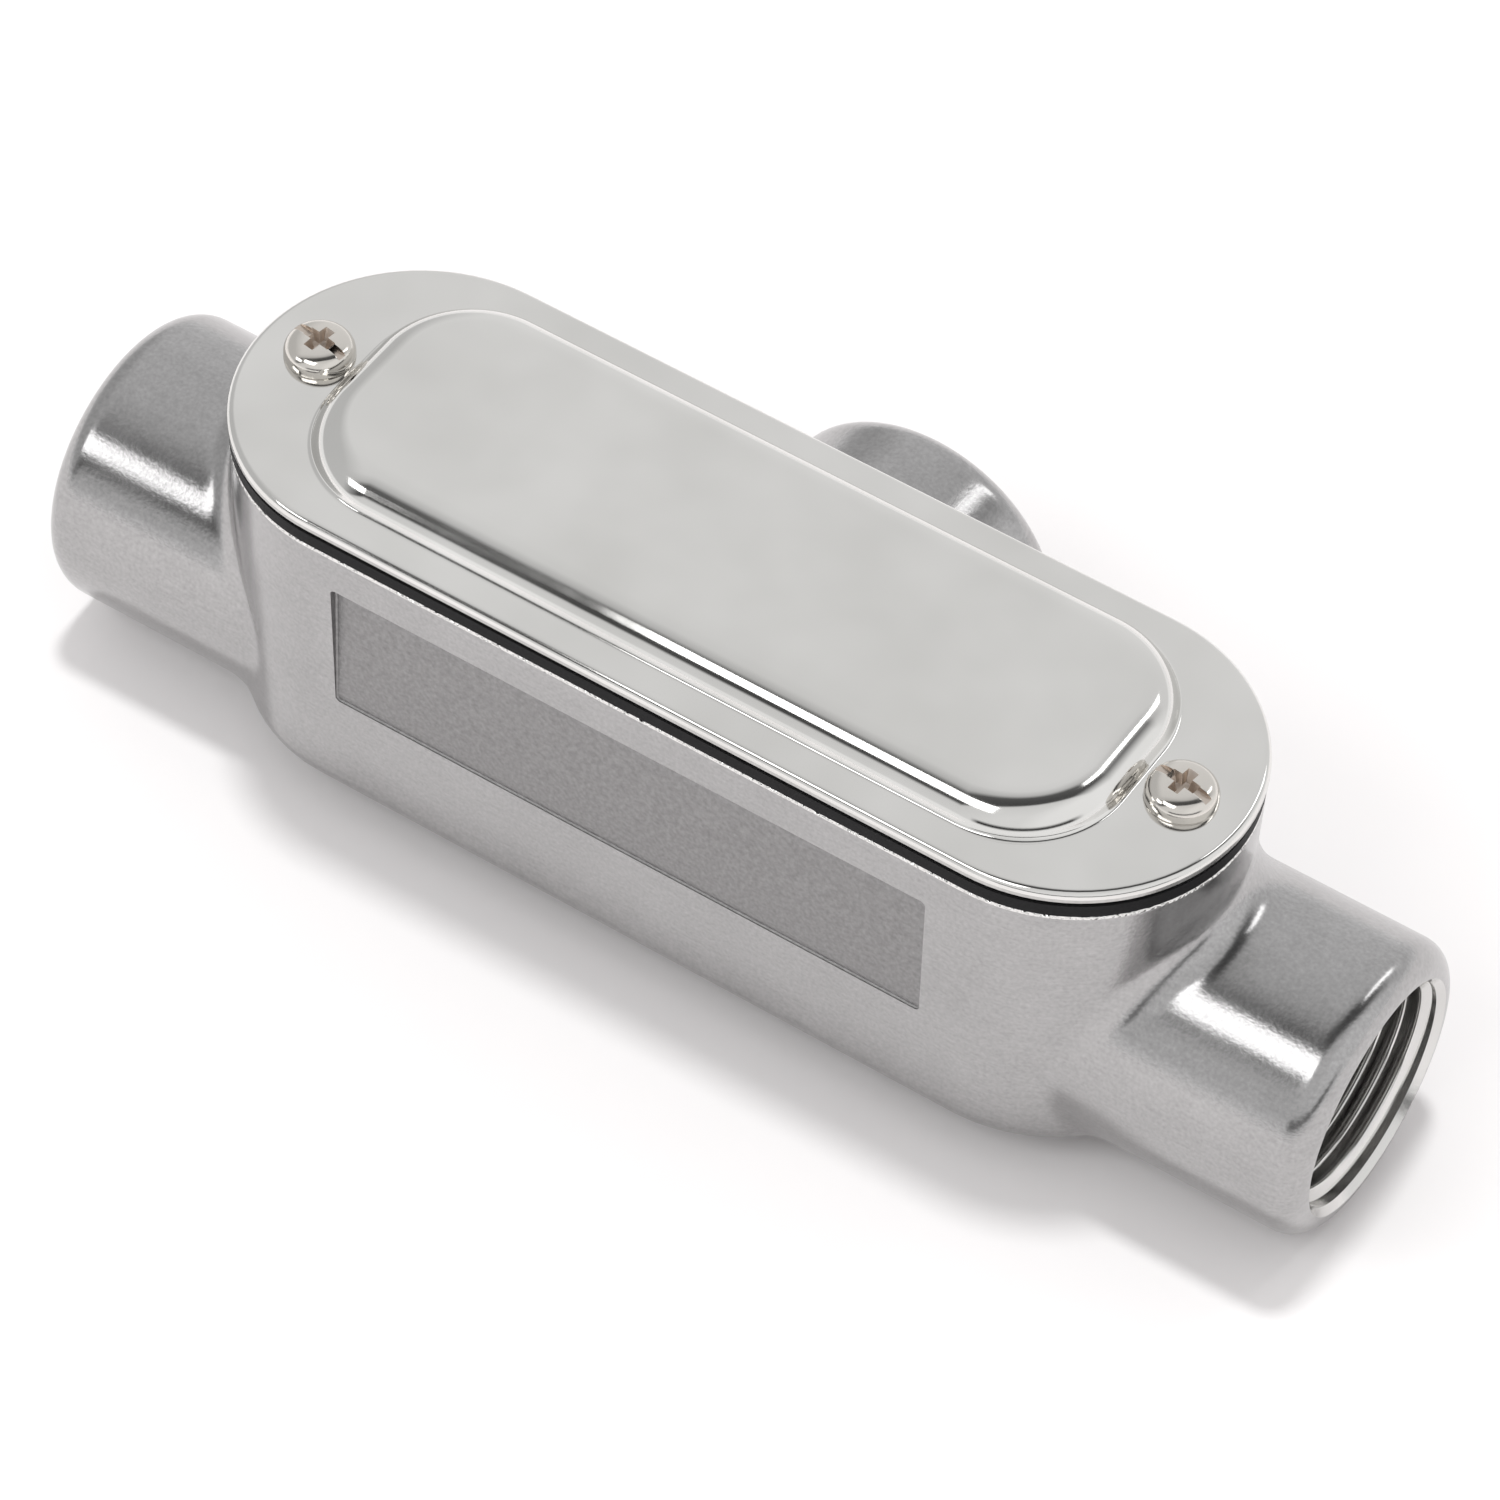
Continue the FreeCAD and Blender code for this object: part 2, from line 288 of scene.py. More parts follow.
# %% [markdown]
# ## The casting
# A foundry pattern is a few plain blocks with fillets run round every joint. So the
# casting starts as plain primitives: an obround body and three round hubs, joined and
# remeshed into one even skin. Then each point of that skin is settled on the exact
# pattern: the blocks' surfaces, rounded where they end and filleted by a rolling ball
# where they meet. Bevelling a dense mesh could not run one fillet along a joint that
# turns from a flat wall to a round end, and this can.

# %% The blocks, as distances in millimetres
def rounded_inside(first, second, radius):
    """Common part of two blocks, with its outer edge rounded."""
    out = np.hypot(np.maximum(first + radius, 0), np.maximum(second + radius, 0))
    return np.minimum(-radius, np.maximum(first, second)) + out


def body_block(p):
    """Distance to the drafted body, which is open-ended upwards."""
    across = np.hypot(np.maximum(np.abs(p[:, 0]) - end_centre, 0), p[:, 1] - run_y)
    side = across - (low_radius + draft * (p[:, 2] - body_bottom))
    return rounded_inside(side, body_bottom - p[:, 2], bottom_round)


def hub_block(p, way):
    """Distance to one hub: 1 and -1 are the run's ends, 0 the branch."""
    along = p[:, 0] * way if way else p[:, 1] - run_y
    across = p[:, 1] - run_y if way else p[:, 0]
    side = np.hypot(across, p[:, 2] - axis_z) - hub_radius
    face = run_face if way else branch_face
    body_side = low_radius + draft * (axis_z - body_bottom) + (end_centre if way else 0)
    ended = rounded_inside(side, along - face, face_round)
    return np.maximum(ended, rounded_inside(side, body_side - root_depth - along, root_round))


middle_of_side = np.array([[0, run_y - high_radius, rim_z]])
print("body at its rim's edge:", body_block(middle_of_side).round(4))

# %% [markdown]
# A ball rolled along a joint touches both blocks at once. Where a point lies between
# the ball's two points of contact, the fillet is the ball's own surface, and elsewhere
# the nearer block is kept. The angle between the blocks comes from their slopes.

# %% The fillets
def slope(block, p):
    """Direction in which a distance grows fastest, by small differences."""
    step = 0.01
    sides = [block(p + step * axis) - block(p - step * axis) for axis in np.eye(3)]
    found = np.stack(sides, axis=1) / (2 * step)
    return found / np.maximum(np.linalg.norm(found, axis=1, keepdims=True), 1e-6)


def rolled(p, first, second, radius):
    """Two blocks joined by the fillet that a ball of this radius leaves."""
    a, b = first(p), second(p)
    near = np.abs(a) + np.abs(b) < 4 * radius
    joined = np.minimum(a, b)
    q = p[near]
    cosine = np.sum(slope(first, q) * slope(second, q), axis=1)
    cosine = np.clip(cosine, -0.98, 0.98)
    short_a, short_b = radius - a[near], radius - b[near]
    between = (short_a > short_b * cosine) & (short_b > short_a * cosine)
    spread = short_a ** 2 + short_b ** 2 - 2 * short_a * short_b * cosine
    ball = radius - np.sqrt(np.maximum(spread, 0) / (1 - cosine ** 2))
    joined[near] = np.where(between, ball, joined[near])
    return joined


def pattern(p):
    """Distance to the whole casting. The hubs are far apart, so each has its own fillet."""
    whole = body_block(p)
    for way in (1, -1, 0):
        whole = np.minimum(whole, rolled(p, body_block, lambda q: hub_block(q, way), blend))
    return whole


print("pattern at the rim's edge:", pattern(middle_of_side).round(4))

# %% [markdown]
# ### Hands
# Each operator acts on whatever is selected, so one helper clears the selection and
# makes a single object active. The others apply a modifier, and bake an object's place
# into its mesh, because every finished piece keeps its object at the origin.

# %% Helpers for selecting and applying
def pick(obj):
    """Makes one object the only selected and active one."""
    if bpy.context.object and bpy.context.object.mode != "OBJECT":
        bpy.ops.object.mode_set(mode="OBJECT")
    bpy.ops.object.select_all(action="DESELECT")
    obj.select_set(True)
    bpy.context.view_layer.objects.active = obj
    return obj


def settle_place(obj):
    """Moves an object's place, turn and size into its mesh."""
    pick(obj)
    bpy.ops.object.transform_apply(location=True, rotation=True, scale=True)
    return obj


def apply_modifier(obj, kind, **settings):
    """Adds one modifier with its settings and applies it."""
    pick(obj)
    modifier = obj.modifiers.new(kind.title(), kind)
    for name, value in settings.items():
        setattr(modifier, name, value)
    bpy.ops.object.modifier_apply(modifier=modifier.name)
    return obj


def round_block(radius, length, middle, turn=(0, 0, 0)):
    """Adds one plain cylinder, sizes and place in millimetres."""
    bpy.ops.mesh.primitive_cylinder_add(vertices=96, radius=radius * mm, depth=length * mm,
                                        location=[v * mm for v in middle], rotation=turn)
    return bpy.context.object


# %% [markdown]
# ### Rough form
# The rough form only has to lie near the pattern. Its blocks overlap, and the voxel
# remesh welds them into one closed skin of even squares, small enough for the fillets.
# Booleans would weld them too, but leave long thin faces that cannot be settled.

# %% Rough form
grid = 0.68                   # size of the remeshed squares, in millimetres
over_rim = 3.0                # the skin is made taller, and cut at the rim afterwards
hub_overlap = 3.0             # how far a hub's block reaches past the round end's centre
tall = rim_z + over_rim - body_bottom
mean_radius = (low_radius + high_radius) / 2
body_middle = body_bottom + tall / 2
hub_reach = run_face - end_centre + hub_overlap
quarter = math.pi / 2
blocks = []
for side in (1, -1):
    blocks.append(round_block(mean_radius, tall, (side * end_centre, run_y, body_middle)))
    hub_middle = side * (run_face - hub_reach / 2)
    blocks.append(round_block(hub_radius, hub_reach, (hub_middle, run_y, axis_z), (0, quarter, 0)))
blocks.append(round_block(hub_radius, branch_face, (0, run_y + branch_face / 2, axis_z),
                          (quarter, 0, 0)))
bpy.ops.mesh.primitive_cube_add(size=1, location=(0, run_y * mm, body_middle * mm),
                                scale=(2 * end_centre * mm, 2 * mean_radius * mm, tall * mm))
casting = bpy.context.object
pick(casting)
for block in blocks:
    block.select_set(True)
bpy.ops.object.join()
casting.name = "housing_casting"
settle_place(casting)
apply_modifier(casting, "REMESH", mode="VOXEL", voxel_size=grid * mm, adaptivity=0)
print("rough form:", len(casting.data.vertices), "points")

# %% [markdown]
# ### Settling
# Each pass moves every point along the pattern's slope onto the skin. Between passes
# the points are relaxed towards their neighbours, so the squares stay even where the
# fillets pull them together. The last passes only settle.

# %% Settle the skin on the pattern
def settle_on_pattern(obj, passes):
    """Moves every point of the mesh onto the pattern's surface, in a few passes."""
    mesh = obj.data
    places = np.empty(len(mesh.vertices) * 3)
    mesh.vertices.foreach_get("co", places)
    p = places.reshape(-1, 3) / mm
    for _ in range(passes):
        here = pattern(p)
        p = p - here[:, None] * slope(pattern, p)
    mesh.vertices.foreach_set("co", (p * mm).ravel())
    mesh.update()
    return float(np.abs(pattern(p)).max())


def relax(obj, factor, repeat):
    """Evens the squares out without changing which points are joined."""
    pick(obj)
    bpy.ops.object.mode_set(mode="EDIT")
    bpy.ops.mesh.select_all(action="SELECT")
    bpy.ops.mesh.vertices_smooth(factor=factor, repeat=repeat)
    bpy.ops.object.mode_set(mode="OBJECT")


for _ in range(4):
    settle_on_pattern(casting, 2)
    relax(casting, 0.5, 3)
left_over = settle_on_pattern(casting, 5)
print("largest distance left, mm:", round(left_over, 4))

# %% [markdown]
# ## Lofts
# The chamber, the rim, the recess and the cover are all stacks of rounded rectangles.
# Each outline is a plane whose four corners are bevelled, and the outlines are then
# bridged one to the next, as a boat's skin is laid over its frames. Extruding and
# scaling one outline would be quicker, but its corners would not stay true arcs.

# %% Outlines and bridges
corner_steps = 24
merge_gap = 0.002             # points nearer than this, in millimetres, become one


def choose(obj, kind, test):
    """In edit mode, selects the faces, edges or vertices that pass a test."""
    bpy.ops.mesh.select_mode(type=kind)
    bpy.ops.mesh.select_all(action="DESELECT")
    mesh = bmesh.from_edit_mesh(obj.data)
    found = 0
    for item in {"FACE": mesh.faces, "EDGE": mesh.edges, "VERT": mesh.verts}[kind]:
        if test(item):
            item.select_set(True)
            found += 1
    mesh.select_flush_mode()
    bmesh.update_edit_mesh(obj.data)
    return found


def close_up(gap):
    """In edit mode, merges doubles, turns all faces outwards and goes back to object mode."""
    bpy.ops.mesh.select_all(action="SELECT")
    bpy.ops.mesh.remove_doubles(threshold=gap * mm)
    bpy.ops.mesh.normals_make_consistent(inside=False)
    bpy.ops.object.mode_set(mode="OBJECT")


def new_piece(name, mesh):
    """Puts a mesh in the scene as the only selected object, in edit mode."""
    made = bpy.data.objects.new(name, mesh)
    bpy.context.collection.objects.link(made)
    pick(made)
    bpy.ops.object.mode_set(mode="EDIT")
    return made


def lofted(name, outlines):
    """Closed skin over a stack of (length, width, corner, height) outlines, in millimetres."""
    made = new_piece(name, bpy.data.meshes.new(name))
    ends = [0]
    for length, width, corner, height in outlines:
        bpy.ops.mesh.select_all(action="DESELECT")
        bpy.ops.mesh.primitive_plane_add(size=1, location=(0, 0, 0))
        bpy.ops.transform.resize(value=(length * mm, width * mm, 1))
        bpy.ops.transform.translate(value=(0, run_y * mm, height * mm))
        bpy.ops.mesh.bevel(offset=corner * mm, segments=corner_steps, affect="VERTICES",
                           clamp_overlap=False)
        bpy.ops.mesh.delete(type="ONLY_FACE")
        ends.append(len(bmesh.from_edit_mesh(made.data).verts))
    for first in range(len(outlines) - 1):
        low, high = ends[first], ends[first + 2]
        choose(made, "VERT", lambda vert: low <= vert.index < high)
        bpy.ops.mesh.bridge_edge_loops()
    for low, high in ((ends[0], ends[1]), (ends[-2], ends[-1])):
        choose(made, "VERT", lambda vert: low <= vert.index < high)
        bpy.ops.mesh.edge_face_add()
    close_up(merge_gap)
    return made


def obround(radius, height):
    """Outline with full-round ends, about the body's two end centres."""
    return (2 * (end_centre + radius), 2 * radius, radius, height)


print("outline of the rim:", [round(v, 2) for v in obround(high_radius, rim_z)])

# %% [markdown]
# ### The rim
# The casting's top was ground flat, which leaves a bright, narrow band under the
# gasket. The tall skin is cut level below that band, and the band is lofted to fit. A
# remeshed edge would stay ragged there, and a lofted one is a clean quarter round.

# %% Cut the skin level and add the ground band
rim_band = 0.9                # height of the ground band along the rim
edge_round = 0.5
tuck = 0.01                   # how far the band sits inside the skin, so that no faces coincide
band_foot = rim_z - rim_band


def finish_with(obj, material):
    """Gives the whole piece one material."""
    obj.data.materials.clear()
    obj.data.materials.append(material)
    return obj


finish_with(casting, housing_satin)
pick(casting)
bpy.ops.object.mode_set(mode="EDIT")
bpy.ops.mesh.select_all(action="SELECT")
bpy.ops.mesh.bisect(plane_co=(0, 0, (band_foot - tuck / 2) * mm), plane_no=(0, 0, 1),
                    use_fill=True, clear_outer=True)
bpy.ops.object.mode_set(mode="OBJECT")

rim_loops = [obround(high_radius - tuck, band_foot)]
for step in range(5):
    angle = math.radians(90 * step / 4)
    inward = edge_round * (1 - math.cos(angle))
    rim_loops.append(obround(high_radius - inward, rim_z - edge_round * (1 - math.sin(angle))))
rim_ring = finish_with(lofted("rim_band", rim_loops), housing_satin)
print("band:", len(rim_ring.data.polygons), "faces")

# %% [markdown]
# Only the band's rounded shoulder was torn by the wheel, so only its faces get the
# ground finish. Splitting it off as a piece of its own would open a seam in the shell.

# %% Paint the ground shoulder
def paint_faces(obj, material, test):
    """Gives the faces that pass a test a material of their own."""
    obj.data.materials.append(material)
    pick(obj)
    bpy.ops.object.mode_set(mode="EDIT")
    found = choose(obj, "FACE", test)
    obj.active_material_index = len(obj.data.materials) - 1
    bpy.ops.object.material_slot_assign()
    bpy.ops.object.mode_set(mode="OBJECT")
    return found


def on_shoulder(face):
    """The band's round, short of the flat that the gasket hides."""
    return face.normal.z > 0.1 and face.calc_center_median().z < (rim_z - tuck) * mm


print("ground edge:", paint_faces(rim_ring, torn_edge, on_shoulder), "faces")
pick(casting)
rim_ring.select_set(True)
bpy.ops.object.join()
print("skin and band:", len(casting.data.polygons), "faces")

# %% [markdown]
# ### The wiring chamber
# Inside, a sand core left a smooth drafted chamber, and two lugs that the cover screws
# bite into. The core is lofted as a solid, the lugs are cut out of it, and the core is
# then cut out of the casting, so both keep their mould skin.

# %% Cut the chamber with its two lugs
wall = 2.8                    # thickness of the casting's side
floor_z = body_bottom + 2.2
lug_radius, lug_height = 4.6, 13.0
lug_spare = 20.0              # the lug's tool runs on above the rim
tap_depth, tap_tool = 10.6, 24.0    # depth of the tapped hole, and its drill's length
head_reach = 3.95             # radius of a screw's head
screw_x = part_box("cover_screw_right")[0].x / mm + head_reach


def cut_with(obj, tool):
    """Cuts a tool's shape out of an object, and clears the tool away."""
    apply_modifier(obj, "BOOLEAN", operation="DIFFERENCE", solver="EXACT", object=tool,
                   material_mode="TRANSFER")
    bpy.data.objects.remove(tool)
    return obj


chamber = finish_with(lofted("chamber_tool", [
    obround(low_radius - wall - 2.0, floor_z),
    obround(low_radius - wall - 0.6, floor_z + 0.6),
    obround(low_radius - wall, floor_z + 2.0),
    obround(high_radius - wall, rim_z),
    obround(high_radius - wall, rim_z + 6),
]), recess_skin)
lug_tall = lug_height + lug_spare
lug_middle = rim_z + lug_spare / 2 - lug_height / 2
for side in (1, -1):
    cut_with(chamber, round_block(lug_radius, lug_tall, (side * screw_x, run_y, lug_middle)))
    bpy.ops.mesh.primitive_cube_add(size=1, scale=(10 * mm, 2 * lug_radius * mm, lug_tall * mm),
                                    location=(side * (screw_x + 5) * mm, run_y * mm, lug_middle * mm))
    cut_with(chamber, bpy.context.object)
cut_with(casting, chamber)
tap_middle = rim_z - tap_depth + tap_tool / 2
for side in (1, -1):
    cut_with(casting, finish_with(round_block(2.1, tap_tool, (side * screw_x, run_y, tap_middle)),
                                  bore_steel))
print("chamber cut:", len(casting.data.polygons), "faces")

# %% [markdown]
# ### Mouths of the hubs
# Each mouth is bored from its face: a small chamfer, the wall that the thread is cut
# in, a square stop for the conduit, and a smooth bushing that saves the wires' skins.
# A boring tool is one profile spun round the hub's axis, so all of it comes in one cut.

# %% Bore the hubs
thread_radius, bushing_radius, thread_length = 13.2, 10.1, 16.5


def turned(name, profile, middle, axis, steps=96):
    """Spins a profile of points round an axis into a closed, turned shape."""
    mesh = bpy.data.meshes.new(name)
    mesh.from_pydata([[v * mm for v in point] for point in profile],
                     [(i, i + 1) for i in range(len(profile) - 1)], [])
    made = new_piece(name, mesh)
    bpy.ops.mesh.select_all(action="SELECT")
    bpy.ops.mesh.spin(steps=steps, angle=2 * math.pi, center=[v * mm for v in middle], axis=axis)
    close_up(merge_gap)
    return made


def bore_tool(way):
    """Turned tool for one hub: 1 and -1 are the run's ends, 0 the branch."""
    face = run_face if way else branch_face
    stop = face - thread_length
    profile = [(face + 3, 0), (face + 3, 17.2), (face, 13.95), (face - 0.75, thread_radius),
               (stop, thread_radius), (stop, bushing_radius + 1.4), (stop - 0.4, bushing_radius + 0.4),
               (stop - 1.4, bushing_radius), (stop - 30, bushing_radius), (stop - 30, 0)]
    if way:
        points = [(way * along, run_y, axis_z + out) for along, out in profile]
        return turned("bore_tool", points, (0, run_y, axis_z), (1, 0, 0))
    points = [(0, run_y + along, axis_z + out) for along, out in profile]
    return turned("bore_tool", points, (0, run_y, axis_z), (0, 1, 0))


for way in (1, -1, 0):
    cut_with(casting, finish_with(bore_tool(way), bore_steel))
print("bored:", len(casting.data.polygons), "faces")

# %% [markdown]
# ### Name recess
# Real bodies carry their maker's words in a shallow sunk panel on the front wall.
# This one is left blank, with the grainy floor that the mould gives. The tool is a
# short loft with a chamfered floor, tipped to lie flat on the drafted wall.

# %% Sink the blank recess
recess_shift, recess_rise = -0.8, 25.0
recess = lofted("recess_tool", [
    (74.6, 17.8, 0.5, -0.65),
    (74.9, 18.1, 0.6, -0.5),
    (75.3, 18.5, 0.7, 3.0),
])
pick(recess)
lean = math.pi / 2 - math.atan(draft)
recess_z = body_bottom + recess_rise
recess_wall = low_radius + draft * (recess_z - body_bottom)
recess.data.transform(Matrix.Translation((0, -run_y * mm, 0)))
recess.data.transform(Matrix.Rotation(lean, 4, "X"))
recess.data.transform(Matrix.Translation((recess_shift * mm, (run_y - recess_wall) * mm, recess_z * mm)))
cut_with(casting, finish_with(recess, recess_skin))


def smooth_below(obj, degrees):
    """Shades a piece smooth, and keeps the edges that are sharper than an angle."""
    pick(obj)
    bpy.ops.object.shade_smooth_by_angle(angle=math.radians(degrees))


smooth_below(casting, 28)
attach(casting, "housing")
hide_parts("housing")
print("casting:", len(casting.data.polygons), "faces, finishes",
      [material.name for material in casting.data.materials])

# %% [markdown]
# ## Threads
# The hubs take a 3/4 inch conduit thread with 14 turns to the inch. One ridge with
# steep flanks and a rounded crest is drawn as a small plane and wound round by a Screw
# modifier. Its height fades out at both ends, as where a tap runs in and out. A bump in
# the bore's finish would be cheaper, but the mouth shows the thread in outline.

# %% Wind a thread
turn_steps = 72
fade_turns = 0.4


def wound_thread(name, root, crest, pitch, turns, start):
    """Ridge wound about the Z axis upwards from a height, all in millimetres."""
    half_root = pitch * 0.46
    half_crest = pitch * 0.08
    bpy.ops.mesh.primitive_plane_add(size=1, location=(0, 0, 0), rotation=(math.pi / 2, 0, 0))
    made = settle_place(bpy.context.object)
    made.name = name
    places = {(-0.5, -0.5): (root, -half_root), (-0.5, 0.5): (root, half_root),
              (0.5, -0.5): (crest, -half_crest), (0.5, 0.5): (crest, half_crest)}
    for vert in made.data.vertices:
        out, up = places[(round(vert.co.x, 2), round(vert.co.z, 2))]
        vert.co = (out * mm, 0, (start + up) * mm)
    pick(made)
    bpy.ops.object.mode_set(mode="EDIT")
    choose(made, "VERT", lambda vert: abs(vert.co.x - crest * mm) < 0.001 * mm)
    bpy.ops.mesh.bevel(offset=pitch * 0.07 * mm, segments=2, affect="VERTICES")
    bpy.ops.object.mode_set(mode="OBJECT")
    apply_modifier(made, "SCREW", axis="Z", steps=turn_steps, render_steps=turn_steps,
                   iterations=turns, screw_offset=pitch * mm, use_merge_vertices=False)
    in_section = len(made.data.vertices) // (turn_steps * turns + 1)
    for vert in made.data.vertices:
        turn = vert.index // in_section / turn_steps
        fade = min(1.0, 0.02 + min(turn, turns - turn) / fade_turns)
        reach = math.hypot(vert.co.x, vert.co.y) / mm
        kept = (root + (reach - root) * fade) / reach
        vert.co = (vert.co.x * kept, vert.co.y * kept, vert.co.z)
    pick(made)
    bpy.ops.object.mode_set(mode="EDIT")
    close_up(0.001)
    return made


print("a thread's fade takes", round(fade_turns * turn_steps), "steps of its winding")

# %% [markdown]
# The ridges are wound upwards, laid along each hub's axis, and turned so that their
# ends hide at the far side. Their roots are sunk a little into the bore's wall.

# %% Thread the three hubs
pitch = 25.4 / 14             # 14 turns to the inch
crest_radius = 12.0
for way, name in ((1, "right_hub_thread"), (-1, "left_hub_thread"), (0, "branch_hub_thread")):
    face = run_face if way else branch_face
    thread = wound_thread(name, thread_radius + 0.06, crest_radius, pitch, 8, -face + 1.4)
    laid = Matrix.Rotation(-way * math.pi / 2, 4, "Y") if way else Matrix.Rotation(math.pi / 2, 4, "X")
    thread.data.transform(Matrix.Translation((0, run_y * mm, axis_z * mm)) @ laid @
                          Matrix.Rotation(math.radians(-50), 4, "Z"))
    finish_with(thread, bore_steel)
    smooth_below(thread, 50)
    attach(thread, "housing")
    corners = [tuple(round(v / mm, 1) for v in c) for c in (thread.bound_box[0], thread.bound_box[6])]
    print(name, corners)

# %% [markdown]
# ## The cover
# The cover is one pressing: a flat flange with a rolled edge, and a hollow panel
# raised 3.4 mm with steep walls. Its mirror sides show every fault, so the crest and
# the foot are true arcs, laid out step by step in the outlines that the loft follows.
# A bevel on a plain block would be shorter to write, but its arcs run out of room at
# the panel's corners.

# %% Outlines of the cover
gasket_top = cover_low.z / mm
thickness = 2.1
flange_top = gasket_top + thickness
cover_radius = (cover_high.y - cover_low.y) / 2 / mm
panel_length, panel_width, panel_corner = 99.1, 33.0, 12.4
panel_height = cover_high.z / mm - flange_top
wall_lean = math.radians(66)
crest_round, foot_round, rolled_edge = 4.5, 0.65, 0.9
hollow, hollow_top = 1.47, 2.98     # how far the hollow's mouth and roof lie inside the panel's foot


def panel(inset, height):
    """Outline of the raised panel, drawn in from its sharp foot."""
    return (panel_length - 2 * inset, panel_width - 2 * inset, panel_corner - inset, height)


crest_inset = panel_height / math.tan(wall_lean) + crest_round * math.tan(wall_lean / 2)
foot_inset = -foot_round * math.tan(wall_lean / 2)
outlines = []
for step in range(17):
    angle = wall_lean * step / 16
    outlines.append(panel(crest_inset - crest_round * math.sin(angle),
                          flange_top + (panel_height - crest_round * (1 - math.cos(angle)))))
for step in range(6):
    angle = wall_lean * (1 - step / 5)
    outlines.append(panel(foot_inset + foot_round * math.sin(angle),
                          flange_top + foot_round * (1 - math.cos(angle))))
for step in range(7):
    angle = math.radians(90 * step / 6)
    outlines.append(obround(cover_radius - rolled_edge * (1 - math.sin(angle)),
                            flange_top - rolled_edge * (1 - math.cos(angle))))
print("outlines of the cover's upper side:", len(outlines))

# %% [markdown]
# The underside goes back in from the sheared edge, across the gasket, and up into the
# panel's hollow. One outline just wider than the hollow keeps its neighbours alike, so
# that the bridge between a long and a short outline does not twist.

# %% Loft the cover
outlines += [
    obround(cover_radius, gasket_top + 0.75),
    obround(cover_radius - 0.55, gasket_top),
    panel(-0.45, gasket_top),
    panel(hollow, gasket_top),
    panel(hollow_top, gasket_top + panel_height),
]


def on_sheared_side(face):
    """The flange's upright side, below its rolled edge."""
    middle = face.calc_center_median() / mm
    reach = math.hypot(max(abs(middle.x) - end_centre, 0), middle.y - run_y)
    return (abs(face.normal.z) < 0.3 and middle.z < flange_top - rolled_edge
            and reach > cover_radius - 0.5)


cover = finish_with(lofted("cover_pressing", outlines), cover_sheet)
print("sheared edge:", paint_faces(cover, sheared_edge, on_sheared_side), "faces")
for side in (1, -1):
    cut_with(cover, finish_with(round_block(2.4, 12, (side * screw_x, run_y, flange_top)), cover_sheet))
smooth_below(cover, 30)
apply_modifier(cover, "WEIGHTED_NORMAL", keep_sharp=True, weight=80)
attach(cover, "cover")
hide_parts("cover")
print("cover:", len(cover.data.polygons), "faces, flange top", round(flange_top, 2))

# %% [markdown]
# ## The gasket
# The gasket is a flat die-cut sheet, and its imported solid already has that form. It
# only needs its rubber.

# %% Rubber on the gasket
finish_with(nodes["cover_gasket"], gasket_rubber)
print("gasket finish:", nodes["cover_gasket"].data.materials[0].name)

# %% [markdown]
# ## The cover screws
# These are number 8 pan heads with a combined recess: one slot right across, and a
# cross in its middle. The head is turned from a profile, the recess is cut with three
# tapering blades, and its edges are broken with a small bevel, because a driver leaves
# them bright. A screw carved from one block would never get so even a head.

# %% Turn and recess one screw
screw_profile = [(0, 2.4), (0.9, 2.39), (1.8, 2.33), (2.4, 2.24), (2.85, 2.1), (3.2, 1.9), (3.5, 1.62),
                 (3.72, 1.3), (3.86, 0.95), (3.93, 0.6), (head_reach, 0.15), (3.86, 0.0), (2.1, 0.0),
                 (1.66, -0.3), (1.66, -12.0), (1.1, -12.7), (0, -12.7)]
head_turn = math.radians(-8)
screw_pitch = 0.794           # 32 turns to the inch
blade_middle = 2.5
blades = (((12, 1.1, 1.6), 0.9), ((1.9, 5.2, 3.2), 0.42), ((5.2, 1.9, 3.2), 0.42))


def recess_blade(size, narrow):
    """One tapering blade of the recess: its size, and how narrow its foot is."""
    bpy.ops.mesh.primitive_cube_add(size=1, location=(0, 0, blade_middle * mm),
                                    scale=[v * mm for v in size])
    tool = settle_place(bpy.context.object)
    for vert in tool.data.vertices:
        if vert.co.z < blade_middle * mm:
            vert.co = (vert.co.x * narrow, vert.co.y * narrow, vert.co.z)
    # The blades pass their darker finish on to the recess walls: painted shade inside the recess.
    return finish_with(tool, recess_shade_steel)


def cover_screw(name, x):
    """One pan head screw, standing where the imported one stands."""
    points = [(out, 0, up) for out, up in screw_profile]
    made = finish_with(turned(name, points, (0, 0, 0), (0, 0, 1), 64), screw_steel)
    for size, narrow in blades:
        cut_with(made, recess_blade(size, narrow))
    apply_modifier(made, "BEVEL", width=0.09 * mm, segments=2, limit_method="ANGLE",
                   angle_limit=math.radians(50), harden_normals=False)
    thread = finish_with(wound_thread("thread", 1.62, 2.05, screw_pitch, 14, -11.6), screw_steel)
    pick(made)
    thread.select_set(True)
    bpy.ops.object.join()
    made.data.transform(Matrix.Translation((x * mm, run_y * mm, flange_top * mm)) @
                        Matrix.Rotation(head_turn, 4, "Z"))
    smooth_below(made, 30)
    return made


for name, x in (("right", screw_x), ("left", -screw_x)):
    screw = cover_screw("cover_screw_" + name + "_turned", x)
    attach(screw, name + "_screw")
    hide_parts("cover_screw_" + name)
    print(screw.name, len(screw.data.polygons), "faces")

# %% [markdown]
# ## The studio
# The part lies on a sheet of white paper, seen from above its front right. The paper
# has no gloss at all, so it shows only the part's soft shadow.

# %% Floor
bpy.ops.mesh.primitive_plane_add(size=2.4, location=(0, 0, 0))
floor = bpy.context.object
floor.name = "studio_floor"
paper = bpy.data.materials.new("white_sweep_paper")
paper.use_nodes = True
paper_shader = paper.node_tree.nodes["Principled BSDF"]
paper_shader.inputs["Base Color"].default_value = linear("fcfbfb")
paper_shader.inputs["Roughness"].default_value = 1.0
paper_shader.inputs["Specular IOR Level"].default_value = 0.0
floor.data.materials.append(paper)
print("floor", tuple(round(v, 2) for v in floor.dimensions), "m")

